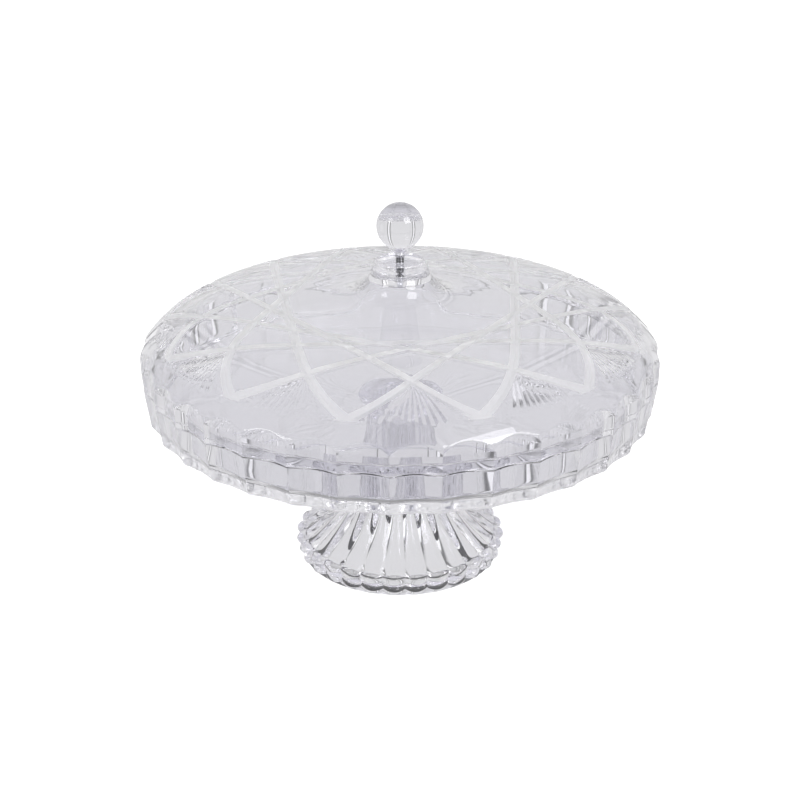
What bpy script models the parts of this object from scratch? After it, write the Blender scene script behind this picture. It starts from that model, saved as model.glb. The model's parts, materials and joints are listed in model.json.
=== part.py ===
"""Round clear-glass cake stand with a lift-off lid.

The stand is a fluted plate screwed to a hollow trumpet foot. The lid is a shallow fluted dome with a
ball knob, held by one screw through a chrome ferrule and a clear disc.
Units are metres. +Z is up and the origin is the centre of the foot's underside.
"""

import math

import bmesh
import bpy

MM = 0.001
GAP = 0.3 * MM
EDGE_BREAK = 0.4 * MM
EDGE_DROP = 0.8 * MM

# Rim of the plate and lid
RIM_RADIUS = 150.0 * MM
RIM_FLUTES = 36
RIM_STEPS_PER_FLUTE = 2
FLUTE_DEPTH = 2.9 * MM

# Plate
PLATE_UNDERSIDE = 99.0 * MM
PLATE_FLOOR = 104.0 * MM
PLATE_LEDGE = 122.5 * MM
PLATE_LIP_TOP = 126.5 * MM
PLATE_LIP_RADIUS = 144.0 * MM
PLATE_WELL_RADIUS = 141.4 * MM
PLATE_WELL_FILLET = 5.0 * MM
PLATE_BASE_RADIUS = 144.5 * MM
PLATE_CORNER_HEIGHT = 4.5 * MM
PLATE_WALL_TAPER = 2.5 * MM
PLATE_BOSS_RADIUS = 14.0 * MM
PLATE_BOSS_HEIGHT = 6.0 * MM

# Lid
LID_SEAT = PLATE_LEDGE + GAP
LID_BAND_TOP = 136.0 * MM
LID_RING_HEIGHT = 160.6 * MM
LID_RING_RADIUS = 66.8 * MM
LID_CROWN_HEIGHT = 178.6 * MM
LID_CROWN_RADIUS = 17.0 * MM
LID_THICKNESS = 4.4 * MM
LID_SKIRT_RADIUS = 144.6 * MM
LID_BORE_RADIUS = 2.1 * MM
DOME_POWER = 4.0
CROWN_POWER = 1.3
CROWN_NECK_SHARE = 0.45
CROWN_NECK_POWER = 12.0
DOME_STEPS = 5
CROWN_STEPS = 6

# Foot
FOOT_LOBES = 28
FOOT_STEPS_PER_LOBE = 3
FOOT_RING_RADIUS = 64.0 * MM
FOOT_TIER_HEIGHT = 6.8 * MM
FOOT_LOBE_DEPTH = 2.4 * MM
FOOT_NECK_LOBE_SHARE = 0.55
FOOT_SHOULDER = 4.0 * MM
FOOT_RING_WIDTH = 8.0 * MM
FOOT_RIM_HEIGHT = 9.0 * MM
FOOT_NECK_RADIUS = 20.0 * MM
FOOT_NECK_HEIGHT = 88.0 * MM
FOOT_FLANGE_RADIUS = 25.0 * MM
FOOT_FLANGE_THICKNESS = 3.0 * MM
FOOT_WALL = 4.0 * MM
FOOT_WEB_BOTTOM = 84.0 * MM
FOOT_STEPS = 5
TRUMPET_POWER = 2.6
# Outline of the two-tier ring, top to bottom: how far inside the ring's radius, the height in tiers
# and the share of the lobes' full depth
FOOT_RING_OUTLINE = (
    (0.0 * MM, 1.6, 1.0),
    (0.4 * MM, 1.15, 1.0),
    (2.4 * MM, 0.97, 1.0),
    (1.4 * MM, 0.7, 1.0),
    (1.6 * MM, 0.2, 1.0),
    (3.2 * MM, 0.0, 0.5),
)

# Washers and gaskets
GASKET_THICKNESS = 1.0 * MM
GASKET_MARGIN = 1.0 * MM
WASHER_THICKNESS = 1.4 * MM
FOOT_WASHER_RADIUS = 8.0 * MM
LID_WASHER_RADIUS = 9.0 * MM
KNOB_GASKET_INSET = 3.0 * MM

# Screws
SCREW_TIP_CLEARANCE = 0.6 * MM
SCREW_HEAD_CROWN = 0.7

# Foot screw and the insert it enters
FOOT_SCREW_RADIUS = 2.5 * MM
FOOT_SCREW_HEAD_RADIUS = 4.8 * MM
FOOT_SCREW_HEAD_HEIGHT = 3.2 * MM
PLATE_INSERT_RADIUS = 4.7 * MM
PLATE_INSERT_LENGTH = 7.4 * MM

# Knob
BALL_RADIUS = 13.5 * MM
BALL_CENTRE = 205.4 * MM
BALL_FLAT_RADIUS = 7.1 * MM
BALL_NECK_RADIUS = 3.6 * MM
BALL_NECK_BOTTOM = 190.0 * MM
BALL_RINGS = 10
INSERT_RADIUS = 2.6 * MM
INSERT_LENGTH = 5.0 * MM
DISC_RADIUS = 15.9 * MM
DISC_TOP = 185.4 * MM
DISC_HUB_TOP = 184.2 * MM
DISC_STEP_RADIUS = 14.3 * MM
DISC_RIM_CREST = 1.6 * MM
DISC_RIM_SLOPE = 1.8 * MM
DISC_STEP_HEIGHT = 1.0 * MM
FERRULE_FLANGE_RADIUS = 3.0 * MM
FERRULE_FLANGE_BOTTOM = 187.2 * MM
FERRULE_BODY_RADIUS = 2.3 * MM
FERRULE_CHAMFER = 0.5 * MM
KNOB_SCREW_RADIUS = 1.5 * MM
KNOB_SCREW_HEAD_RADIUS = 3.2 * MM
KNOB_SCREW_HEAD_HEIGHT = 2.2 * MM

ROUND_STEPS = 28
DISC_SIDES = 36
SMOOTH_ANGLE = math.radians(35.0)


def clear_scene():
    """Remove whatever the scene holds."""
    for obj in list(bpy.data.objects):
        bpy.data.objects.remove(obj, do_unlink=True)


def make_material(name, colour, roughness, metallic=0.0, transmission=0.0):
    """Return a Principled material."""
    mat = bpy.data.materials.new(name)
    mat.use_nodes = True
    shader = mat.node_tree.nodes["Principled BSDF"]
    shader.inputs["Base Color"].default_value = (*colour, 1.0)
    shader.inputs["Roughness"].default_value = roughness
    shader.inputs["Metallic"].default_value = metallic
    shader.inputs["Transmission Weight"].default_value = transmission
    return mat


def scooped(phase):
    """Depth fraction of a hollow flute: full at its centre, none at the sharp edge between flutes."""
    return abs(math.cos(math.pi * phase))


def lobed(phase):
    """Depth fraction of a round lobe: none at its crest, full in the groove between lobes."""
    return 1.0 - abs(math.sin(math.pi * phase))


def turn(name, outline, mat, steps=ROUND_STEPS, repeats=0, ripple=scooped):
    """Turn an outline about Z into one closed body.

    The outline runs from the top, down the outer side and back up the inner side. Each point is
    (radius, height) or (radius, height, depth), where depth is how far the ripple cuts in there.
    A point with no radius is a pole, and an outline without poles closes on itself.
    """
    bm = bmesh.new()
    rings = []
    for point in outline:
        radius, height = point[0], point[1]
        depth = point[2] if len(point) > 2 else 0.0
        if radius == 0.0:
            rings.append([bm.verts.new((0.0, 0.0, height))])
            continue
        ring = []
        for step in range(steps):
            turn_part = step / steps
            cut = depth * ripple(turn_part * repeats) if repeats else 0.0
            angle = 2.0 * math.pi * turn_part
            ring.append(bm.verts.new((
                (radius - cut) * math.cos(angle),
                (radius - cut) * math.sin(angle),
                height,
            )))
        rings.append(ring)
    pairs = list(zip(rings, rings[1:]))
    if len(rings[0]) > 1 and len(rings[-1]) > 1:
        pairs.append((rings[-1], rings[0]))
    for upper, lower in pairs:
        for step in range(steps):
            after = (step + 1) % steps
            if len(upper) == 1:
                bm.faces.new((upper[0], lower[step], lower[after]))
            elif len(lower) == 1:
                bm.faces.new((upper[step], lower[0], upper[after]))
            else:
                bm.faces.new((upper[step], lower[step], lower[after], upper[after]))
    bmesh.ops.recalc_face_normals(bm, faces=bm.faces)
    mesh = bpy.data.meshes.new(name)
    bm.to_mesh(mesh)
    bm.free()
    mesh.materials.append(mat)
    mesh.shade_smooth()
    mesh.set_sharp_from_angle(angle=SMOOTH_ANGLE)
    obj = bpy.data.objects.new(name, mesh)
    bpy.context.collection.objects.link(obj)
    return obj


def arc(centre_radius, centre_height, size, start, end, steps):
    """Points of a circular arc in the outline's plane, angles in degrees from the +radius side."""
    points = []
    for step in range(steps + 1):
        angle = math.radians(start + (end - start) * step / steps)
        points.append((
            centre_radius + size * math.cos(angle),
            centre_height + size * math.sin(angle),
        ))
    return points


def dome(radius, base, height, outer):
    """Height of the domed ring at a radius: level at the ring's inner edge, steep at the rim."""
    part = (radius - LID_RING_RADIUS) / (outer - LID_RING_RADIUS)
    return base + height * (1.0 - part ** DOME_POWER)


def crown(radius, top, bottom):
    """Height of the plain centre: a shallow cone with a steep neck under the knob."""
    part = 1.0 - (radius - LID_CROWN_RADIUS) / (LID_RING_RADIUS - LID_CROWN_RADIUS)
    cone = (1.0 - CROWN_NECK_SHARE) * part ** CROWN_POWER
    neck = CROWN_NECK_SHARE * part ** CROWN_NECK_POWER
    return bottom + (top - bottom) * (cone + neck)


def spread(start, end, steps):
    """Evenly spaced values from start to end, both included."""
    return [start + (end - start) * step / steps for step in range(steps + 1)]


def rim_radii(outer):
    """Radii across the domed ring, closer together towards the rim."""
    width = outer - LID_RING_RADIUS
    return [LID_RING_RADIUS + width * math.sqrt(part) for part in spread(0.0, 1.0, DOME_STEPS)]


def crown_radii():
    """Radii across the plain centre, closer together towards the knob."""
    width = LID_RING_RADIUS - LID_CROWN_RADIUS
    return [LID_CROWN_RADIUS + width * part * part for part in spread(0.0, 1.0, CROWN_STEPS)]


def make_plate(mat):
    """Shallow fluted plate: a flat floor, a seat for the lid and a boss for the foot underneath."""
    wall_foot = RIM_RADIUS - PLATE_WALL_TAPER
    pocket_radius = PLATE_INSERT_RADIUS + GAP
    boss_bottom = PLATE_UNDERSIDE - PLATE_BOSS_HEIGHT
    pocket_top = boss_bottom + PLATE_INSERT_LENGTH + 2.0 * GAP
    fillet_centre = PLATE_WELL_RADIUS - PLATE_WELL_FILLET
    fillet = arc(fillet_centre, PLATE_FLOOR + PLATE_WELL_FILLET, PLATE_WELL_FILLET, -90.0, 0.0, 2)
    outline = [(0.0, PLATE_FLOOR)]
    outline += fillet
    outline += [
        (PLATE_WELL_RADIUS, PLATE_LIP_TOP),
        (PLATE_LIP_RADIUS, PLATE_LIP_TOP),
        (PLATE_LIP_RADIUS, PLATE_LEDGE),
        (RIM_RADIUS - EDGE_BREAK, PLATE_LEDGE, FLUTE_DEPTH),
        (RIM_RADIUS, PLATE_LEDGE - EDGE_DROP, FLUTE_DEPTH),
        (wall_foot, PLATE_UNDERSIDE + PLATE_CORNER_HEIGHT, FLUTE_DEPTH),
        (PLATE_BASE_RADIUS, PLATE_UNDERSIDE, FLUTE_DEPTH / 2.0),
        (PLATE_BOSS_RADIUS, PLATE_UNDERSIDE),
        (PLATE_BOSS_RADIUS, boss_bottom),
        (pocket_radius, boss_bottom),
        (pocket_radius, pocket_top),
        (0.0, pocket_top),
    ]
    turn("plate", outline, mat, RIM_FLUTES * RIM_STEPS_PER_FLUTE, RIM_FLUTES)


def make_lid(mat):
    """Lid shell: a fluted band, a domed ring and a plain crown with the screw's hole."""
    centre_radii = crown_radii()
    ring_radii = rim_radii(RIM_RADIUS)
    under_radii = rim_radii(LID_SKIRT_RADIUS)
    rise = LID_RING_HEIGHT - LID_BAND_TOP
    outline = [(LID_BORE_RADIUS, LID_CROWN_HEIGHT)]
    outline += [(r, crown(r, LID_CROWN_HEIGHT, LID_RING_HEIGHT)) for r in centre_radii]
    outline += [(r, dome(r, LID_BAND_TOP, rise, RIM_RADIUS)) for r in ring_radii[1:-1]]
    outline += [
        (RIM_RADIUS, LID_BAND_TOP, FLUTE_DEPTH),
        (RIM_RADIUS, LID_SEAT + EDGE_DROP, FLUTE_DEPTH),
        (RIM_RADIUS - EDGE_BREAK, LID_SEAT, FLUTE_DEPTH),
        (LID_SKIRT_RADIUS, LID_SEAT),
    ]
    under_ring = LID_RING_HEIGHT - LID_THICKNESS
    under_band = LID_BAND_TOP - LID_THICKNESS
    under_crown = LID_CROWN_HEIGHT - LID_THICKNESS
    outline += [
        (r, dome(r, under_band, under_ring - under_band, LID_SKIRT_RADIUS))
        for r in reversed(under_radii[1:])
    ]
    outline += [(r, crown(r, under_crown, under_ring)) for r in reversed(centre_radii)]
    outline += [(LID_BORE_RADIUS, under_crown)]
    turn("lid_shell", outline, mat, RIM_FLUTES * RIM_STEPS_PER_FLUTE, RIM_FLUTES)


def trumpet(height, bottom, base_radius, neck_radius, neck_height):
    """Radius of the foot's flare at a height."""
    part = min(1.0, (height - bottom) / (neck_height - bottom))
    return neck_radius + (base_radius - neck_radius) * (1.0 - part) ** TRUMPET_POWER


def make_foot(mat):
    """Hollow trumpet foot on a ring of lobes in two tiers, with a flange and a socket on top."""
    flange_top = PLATE_UNDERSIDE - GASKET_THICKNESS - 2.0 * GAP
    socket_radius = PLATE_BOSS_RADIUS + GAP
    socket_floor = PLATE_UNDERSIDE - PLATE_BOSS_HEIGHT - GAP
    flare_bottom = 2.0 * FOOT_TIER_HEIGHT
    flare_radius = FOOT_RING_RADIUS - FOOT_SHOULDER
    hollow_radius = FOOT_RING_RADIUS - FOOT_RING_WIDTH
    outline = [
        (FOOT_FLANGE_RADIUS, flange_top),
        (FOOT_FLANGE_RADIUS, flange_top - FOOT_FLANGE_THICKNESS),
        (FOOT_NECK_RADIUS, FOOT_NECK_HEIGHT, FOOT_LOBE_DEPTH * FOOT_NECK_LOBE_SHARE),
    ]
    for height in spread(FOOT_NECK_HEIGHT, flare_bottom, FOOT_STEPS)[1:]:
        radius = trumpet(height, flare_bottom, flare_radius, FOOT_NECK_RADIUS, FOOT_NECK_HEIGHT)
        swell = (radius - FOOT_NECK_RADIUS) / (flare_radius - FOOT_NECK_RADIUS)
        share = FOOT_NECK_LOBE_SHARE + (1.0 - FOOT_NECK_LOBE_SHARE) * swell
        outline.append((radius, height, FOOT_LOBE_DEPTH * share))
    for inset, tiers, share in FOOT_RING_OUTLINE:
        outline.append((FOOT_RING_RADIUS - inset, tiers * FOOT_TIER_HEIGHT, FOOT_LOBE_DEPTH * share))
    outline.append((hollow_radius, 0.0))
    hollow_neck = FOOT_NECK_RADIUS - FOOT_WALL
    for height in spread(FOOT_RIM_HEIGHT, FOOT_WEB_BOTTOM, FOOT_STEPS - 1):
        radius = trumpet(height, FOOT_RIM_HEIGHT, hollow_radius, hollow_neck, FOOT_WEB_BOTTOM)
        outline.append((radius, height))
    bore = FOOT_SCREW_RADIUS + GAP
    outline += [
        (bore, FOOT_WEB_BOTTOM),
        (bore, socket_floor),
        (socket_radius, socket_floor),
        (socket_radius, flange_top),
    ]
    turn("pedestal_foot", outline, mat, FOOT_LOBES * FOOT_STEPS_PER_LOBE, FOOT_LOBES, lobed)


def make_tube(name, outer, inner, bottom, top, mat):
    """Plain ring or sleeve."""
    outline = [(outer, top), (outer, bottom), (inner, bottom), (inner, top)]
    turn(name, outline, mat)


def make_screw(name, shank_radius, head_radius, head_height, head_bottom, tip, mat):
    """Pan-head screw pointing up, with a blunt chamfered tip."""
    head_top = head_bottom + head_height
    chamfer = shank_radius / 3.0
    outline = [
        (0.0, tip),
        (shank_radius - chamfer, tip),
        (shank_radius, tip - chamfer),
        (shank_radius, head_top),
        (head_radius, head_top),
        (head_radius, head_bottom + head_height / 2.0),
        (head_radius * SCREW_HEAD_CROWN, head_bottom),
        (0.0, head_bottom),
    ]
    turn(name, outline, mat)


def make_foot_fastening(soft, steel):
    """Gasket, washer, screw and insert that hold the foot to the plate."""
    bore = FOOT_SCREW_RADIUS + GAP
    gasket_bottom = PLATE_UNDERSIDE - GASKET_THICKNESS - GAP
    washer_top = FOOT_WEB_BOTTOM - GAP
    washer_bottom = washer_top - WASHER_THICKNESS
    head_bottom = washer_bottom - GAP - FOOT_SCREW_HEAD_HEIGHT
    insert_bottom = PLATE_UNDERSIDE - PLATE_BOSS_HEIGHT + GAP
    insert_top = insert_bottom + PLATE_INSERT_LENGTH
    make_tube("foot_gasket", FOOT_FLANGE_RADIUS - GASKET_MARGIN, PLATE_BOSS_RADIUS + GASKET_MARGIN,
              gasket_bottom, gasket_bottom + GASKET_THICKNESS, soft)
    make_tube("foot_washer", FOOT_WASHER_RADIUS, bore, washer_bottom, washer_top, steel)
    make_screw("foot_screw", FOOT_SCREW_RADIUS, FOOT_SCREW_HEAD_RADIUS, FOOT_SCREW_HEAD_HEIGHT,
               head_bottom, insert_top - SCREW_TIP_CLEARANCE, steel)
    make_tube("plate_insert", PLATE_INSERT_RADIUS, bore, insert_bottom, insert_top, steel)


def make_ball(mat):
    """Solid ball knob on a short cone, with a blind hole for its threaded insert."""
    hole_radius = INSERT_RADIUS + GAP
    hole_top = BALL_NECK_BOTTOM + INSERT_LENGTH + 2.0 * GAP
    lowest = -90.0 + math.degrees(math.asin(BALL_FLAT_RADIUS / BALL_RADIUS))
    outline = [(0.0, BALL_CENTRE + BALL_RADIUS)]
    outline += arc(0.0, BALL_CENTRE, BALL_RADIUS, 90.0, lowest, BALL_RINGS)[1:]
    outline += [
        (BALL_NECK_RADIUS, BALL_NECK_BOTTOM),
        (hole_radius, BALL_NECK_BOTTOM),
        (hole_radius, hole_top),
        (0.0, hole_top),
    ]
    turn("knob_ball", outline, mat)


def make_disc(mat):
    """Clear stepped disc under the knob, with a hole for the ferrule."""
    bore = FERRULE_BODY_RADIUS + GAP
    bottom = LID_CROWN_HEIGHT + GASKET_THICKNESS + 2.0 * GAP
    waist = (bottom + DISC_TOP) / 2.0
    outline = [
        (DISC_STEP_RADIUS - DISC_RIM_CREST - DISC_RIM_SLOPE, DISC_HUB_TOP),
        (DISC_STEP_RADIUS - DISC_RIM_CREST, DISC_TOP),
        (DISC_STEP_RADIUS, DISC_TOP - EDGE_DROP),
        (DISC_STEP_RADIUS, waist),
        (DISC_RADIUS, waist - DISC_STEP_HEIGHT),
        (DISC_RADIUS - EDGE_DROP, bottom),
        (bore, bottom),
        (bore, DISC_HUB_TOP),
    ]
    turn("knob_disc", outline, mat, DISC_SIDES)


def make_ferrule(mat):
    """Chrome ferrule: a flange under the ball and a sleeve down through the disc."""
    bore = KNOB_SCREW_RADIUS + GAP
    top = BALL_NECK_BOTTOM - GAP
    bottom = LID_CROWN_HEIGHT + GASKET_THICKNESS + 2.0 * GAP
    outline = [
        (FERRULE_FLANGE_RADIUS - FERRULE_CHAMFER, top),
        (FERRULE_FLANGE_RADIUS, top - FERRULE_CHAMFER),
        (FERRULE_FLANGE_RADIUS, FERRULE_FLANGE_BOTTOM),
        (FERRULE_BODY_RADIUS, FERRULE_FLANGE_BOTTOM),
        (FERRULE_BODY_RADIUS, bottom),
        (bore, bottom),
        (bore, top),
    ]
    turn("knob_ferrule", outline, mat)


def make_knob_fastening(soft, steel):
    """Gasket, washer, screw and insert that hold the knob to the lid."""
    bore = KNOB_SCREW_RADIUS + GAP
    washer_top = LID_CROWN_HEIGHT - LID_THICKNESS - GAP
    washer_bottom = washer_top - WASHER_THICKNESS
    head_bottom = washer_bottom - GAP - KNOB_SCREW_HEAD_HEIGHT
    insert_bottom = BALL_NECK_BOTTOM + GAP
    insert_top = insert_bottom + INSERT_LENGTH
    gasket_bottom = LID_CROWN_HEIGHT + GAP
    make_tube("knob_gasket", DISC_RADIUS - KNOB_GASKET_INSET, bore,
              gasket_bottom, gasket_bottom + GASKET_THICKNESS, soft)
    make_tube("lid_washer", LID_WASHER_RADIUS, bore, washer_bottom, washer_top, soft)
    make_screw("knob_screw", KNOB_SCREW_RADIUS, KNOB_SCREW_HEAD_RADIUS, KNOB_SCREW_HEAD_HEIGHT,
               head_bottom, insert_top - SCREW_TIP_CLEARANCE, steel)
    make_tube("knob_insert", INSERT_RADIUS, bore, insert_bottom, insert_top, steel)


def main():
    """Build the whole stand."""
    clear_scene()
    glass = make_material("clear_glass", (0.93, 0.93, 0.955), 0.03, transmission=1.0)
    soft = make_material("clear_gasket", (0.9, 0.9, 0.9), 0.4, transmission=0.8)
    chrome = make_material("chrome", (0.82, 0.83, 0.85), 0.08, metallic=1.0)
    steel = make_material("steel", (0.68, 0.69, 0.71), 0.25, metallic=1.0)
    make_plate(glass)
    make_foot(glass)
    make_foot_fastening(soft, steel)
    make_lid(glass)
    make_ball(glass)
    make_disc(glass)
    make_ferrule(chrome)
    make_knob_fastening(soft, steel)


main()
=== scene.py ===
import json
import math

import bmesh
import bpy
import numpy as np
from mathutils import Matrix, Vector
from mathutils.geometry import delaunay_2d_cdt

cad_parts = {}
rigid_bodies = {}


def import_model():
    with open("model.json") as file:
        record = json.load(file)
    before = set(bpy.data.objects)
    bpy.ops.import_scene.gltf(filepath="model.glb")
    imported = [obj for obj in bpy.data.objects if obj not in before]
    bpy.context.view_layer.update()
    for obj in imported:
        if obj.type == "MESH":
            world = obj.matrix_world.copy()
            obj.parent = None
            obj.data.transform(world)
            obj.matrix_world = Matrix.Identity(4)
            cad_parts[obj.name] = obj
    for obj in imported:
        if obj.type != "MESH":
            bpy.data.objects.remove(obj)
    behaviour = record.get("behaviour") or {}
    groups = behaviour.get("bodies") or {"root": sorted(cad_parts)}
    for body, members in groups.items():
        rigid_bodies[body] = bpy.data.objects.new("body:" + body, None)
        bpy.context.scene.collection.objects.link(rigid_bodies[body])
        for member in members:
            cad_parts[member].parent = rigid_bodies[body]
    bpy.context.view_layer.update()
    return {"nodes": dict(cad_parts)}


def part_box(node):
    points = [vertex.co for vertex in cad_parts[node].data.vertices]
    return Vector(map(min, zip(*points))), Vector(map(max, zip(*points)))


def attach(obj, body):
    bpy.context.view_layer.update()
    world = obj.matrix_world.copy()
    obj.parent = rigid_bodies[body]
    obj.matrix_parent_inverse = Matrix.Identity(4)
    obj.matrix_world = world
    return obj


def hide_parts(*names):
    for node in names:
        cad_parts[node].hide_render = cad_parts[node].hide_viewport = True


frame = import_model()

# Cake stand of pressed and cut glass, with a lid that lifts off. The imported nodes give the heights,
# and the pieces made here add the flutes, the cut star, the lobed foot and the polished edges.
# Metres, +Z up.
MM = 0.001
TAU = 2.0 * math.pi
GAP = 0.3 * MM

# A polished edge, from the wall round to the face: how far in from the wall, and from the face
EDGE = 0.5 * MM
EDGE_TURN = ((0.0, EDGE), (0.3 * EDGE, 0.3 * EDGE), (EDGE, 0.0))

# Heights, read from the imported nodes
PLATE_LOW, PLATE_HIGH = (corner.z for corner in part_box("plate"))
LID_LOW, LID_HIGH = (corner.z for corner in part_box("lid_shell"))
FOOT_LOW, FOOT_HIGH = (corner.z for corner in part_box("pedestal_foot"))
BALL_LOW, BALL_HIGH = (corner.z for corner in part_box("knob_ball"))
DISC_LOW, DISC_HIGH = (corner.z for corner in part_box("knob_disc"))
FERRULE_LOW, FERRULE_HIGH = (corner.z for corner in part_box("knob_ferrule"))

# Fluted rim of the lid and the plate. The lid's edge drops where two flutes meet in a tip.
RIM = 150.0 * MM
FLUTES = 36
FLUTE_DEPTH = 2.9 * MM
RIM_STEPS = FLUTES * 20
PLAIN_STEPS = RIM_STEPS // 4
TIP_DROP = 1.4 * MM
TIP_SHARE = 0.4

# Lid: a plain crown inside the circle at RING_RADIUS, and a domed ring outside it
LID_THICKNESS = 4.4 * MM
LID_BORE = 2.1 * MM
BAND_TOP = 136.0 * MM
RING_HEIGHT = 160.6 * MM
RING_RADIUS = 66.8 * MM
SKIRT_RADIUS = 144.6 * MM
DOME_EDGE = 141.5 * MM
DOME_POWER = 4.0
DOME_SHARES = (0.2, 0.4, 0.6, 0.75, 0.88)
CROWN_RADIUS = 17.0 * MM
CROWN_POWER = 1.3
CROWN_NECK_SHARE = 0.45
CROWN_NECK_POWER = 12.0
CROWN_RINGS = 24
CROWN_SPACING = 1.8
KNOB_SEAT_RADII = (3.0 * MM, 10.0 * MM)
INSIDE_RINGS = 22
INSIDE_SPACING = 0.6

# Plate
BOSS_DROP = 6.0 * MM
PLATE_UNDERSIDE = PLATE_LOW + BOSS_DROP
PLATE_FLOOR = PLATE_UNDERSIDE + 5.0 * MM
PLATE_LEDGE = LID_LOW - GAP
LIP_RADIUS = 144.0 * MM
WELL_RADIUS = 141.4 * MM
WELL_FILLET = 5.0 * MM
PLATE_FLOOR_RADIUS = WELL_RADIUS - WELL_FILLET
FILLET_RINGS = 8
PLATE_FLOOR_RADII = (20.0 * MM, 60.0 * MM, 100.0 * MM, PLATE_FLOOR_RADIUS - 4.0 * MM)
WALL_TAPER = 2.5 * MM
WALL_RINGS = 5
CORNER_HEIGHT = 4.5 * MM
CORNER_RINGS = 6
BASE_RADIUS = 144.5 * MM
BASE_FLUTE_SHARE = 0.5
BOSS_RADIUS = 14.0 * MM
UNDERSIDE_RADII = (DOME_EDGE, 130.0 * MM, 100.0 * MM, 60.0 * MM, 26.0 * MM, BOSS_RADIUS)
POCKET_RADIUS = 5.0 * MM
POCKET_DEPTH = 8.0 * MM

# Cut star: curved arcs round the plain centre, which cross in pairs at thirteen outer points, the
# nodes. A fan of rays starts at each node, and a thin circle is cut round the centre.
STAR_POINTS = 13
STAR_TURN = -math.pi / 2.0
ARC_NEAREST = 66.0 * MM
ARC_BEND = 6.8
ARC_POINTS = 141
NODE_RADIUS = 113.0 * MM
NODE_ANGLE = 2.0 * TAU / STAR_POINTS
CUT_WIDTH = 5.2 * MM
CUT_DEPTH = 0.9 * MM
CUT_END = 140.4 * MM
CUT_RUN_OUT = 6.0 * MM
RUN_OUT_POWER = 0.5
SATIN_END = 138.8 * MM
CIRCLE_WIDTH = 1.6 * MM
CIRCLE_DEPTH = 0.35 * MM
FAN_HALF_ANGLE = math.radians(38.0)
FAN_RAYS = 9
FAN_RAY_POINTS = 9
FAN_SLOPE = 0.36
FAN_START = 5.0 * MM

# Mesh of the surface that carries the star: plain rings of points between the cuts, closer
# together near the rim
CUT_FACE_RADIUS = 60.0 * MM
CIRCLE_STEPS = 216
SATIN_STEPS = 360
FILL_STEPS = 180
FILL_COARSE_PITCH = 4.0 * MM
FILL_COARSE_START = CUT_FACE_RADIUS + 3.0 * MM
FILL_COARSE_END = 126.0 * MM
FILL_FINE_PITCH = 1.8 * MM
FILL_FINE_START = 128.0 * MM
FILL_FINE_END = DOME_EDGE - 1.0 * MM
FILL_TOLERANCE = 1e-7
CUT_CREASE = 14.0

# Foot: flange, neck and trumpet
LOBES = 28
STEPS_PER_LOBE = 20
LOBE_DEPTH = 2.8 * MM
NECK_LOBE_SHARE = 0.55
FLANGE_RADIUS = 25.0 * MM
FLANGE_WALL = 2.6 * MM
FLANGE_THICKNESS = 3.4 * MM
FLANGE_CHAMFER = 0.6 * MM
NECK_RADIUS = 20.0 * MM
NECK_HEIGHT = 88.0 * MM
NECK_POWER = 1.6
NECK_RINGS = 6
TRUMPET_POWER = 2.6
FLARE_RINGS = 34
FOOT_SHOULDER = 4.0 * MM

# Foot: ring of pillows. Each tier has the height of its middle and how far out it reaches.
RING_OUTER = 64.0 * MM
TIER = 6.8 * MM
TIERS = ((1.5 * TIER, RING_OUTER), (0.48 * TIER, RING_OUTER - 1.4 * MM))
PILLOW_HALF = 0.47 * TIER
PILLOW_BULGE = 3.4 * MM
PILLOW_GROOVE = 3.6 * MM
PILLOW_ROUNDING = 0.25
PILLOW_TOP = math.radians(80.0)
PILLOW_BOTTOM = math.radians(-85.0)
PILLOW_RINGS = 12
FOOT_CREASE = 40.0

# Foot: underside, and the web that the screw goes through
HOLLOW_RADIUS = RING_OUTER - 8.0 * MM
HOLLOW_START = 9.0 * MM
HOLLOW_RINGS = 26
RING_FLAT = 4.0 * MM
FOOT_WALL = 4.0 * MM
WEB_BOTTOM = 84.0 * MM
WEB_BORE = 2.8 * MM

# Ball of the knob: a flat below with an undercut, each step how far in and down, and a cone with a
# blind hole
BALL_STEPS = 96
BALL_RINGS = 40
BALL_RADIUS = 13.5 * MM
BALL_CENTRE = BALL_HIGH - BALL_RADIUS
BALL_FLAT = 8.1 * MM
BALL_UNDERCUT = ((1.0 * MM, 0.3 * MM), (0.4 * MM, 0.8 * MM))
BALL_NECK = 3.6 * MM
BALL_NECK_CHAMFER = 0.3 * MM
BALL_HOLE = 2.9 * MM
BALL_HOLE_DEPTH = 5.6 * MM

# Disc of the knob: radius and height across its dished top, both in millimetres, then how far in
# from its radius and how high from its middle each ring of its side stands
DISC_STEPS = 144
DISC_RADIUS = 15.9 * MM
DISC_BORE = 2.6 * MM
DISC_MIDDLE = (DISC_LOW + DISC_HIGH) / 2.0
DISC_DISH = (
    (2.6, 184.2), (8.6, 184.2), (10.2, 184.35), (11.8, 184.9), (12.8, 185.3), (13.4, 185.4),
)
DISC_CREST = ((1.9 * MM, 0.15 * MM), (1.6 * MM, 0.6 * MM))
DISC_SIDE = (
    (1.7 * MM, 0.3 * MM), (1.4 * MM, -0.4 * MM), (0.4 * MM, -0.9 * MM), (0.05 * MM, -1.3 * MM),
    (0.0, -1.8 * MM),
)
DISC_HEEL = ((0.3 * MM, 0.3 * MM), (0.8 * MM, 0.0))

# Ferrule of the knob: a flange under the ball and a threaded sleeve
FERRULE_STEPS = 48
FERRULE_BORE = 1.8 * MM
FERRULE_EDGE = 0.5 * MM
FERRULE_FLANGE = 3.0 * MM
FERRULE_FLANGE_LOW = 187.2 * MM
THREAD_ROOT = 2.05 * MM
THREAD_DEPTH = 0.35 * MM
THREAD_PITCH = 1.0 * MM
THREAD_RINGS = 56

# Camera
CAMERA_RANGE = 825.0 * MM
CAMERA_ELEVATION = math.radians(23.77)
CAMERA_TURN = math.radians(-3.0)
CAMERA_TARGET = Vector((0.0, 0.0, 98.1 * MM))
CAMERA_LENS = 62.39

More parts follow.
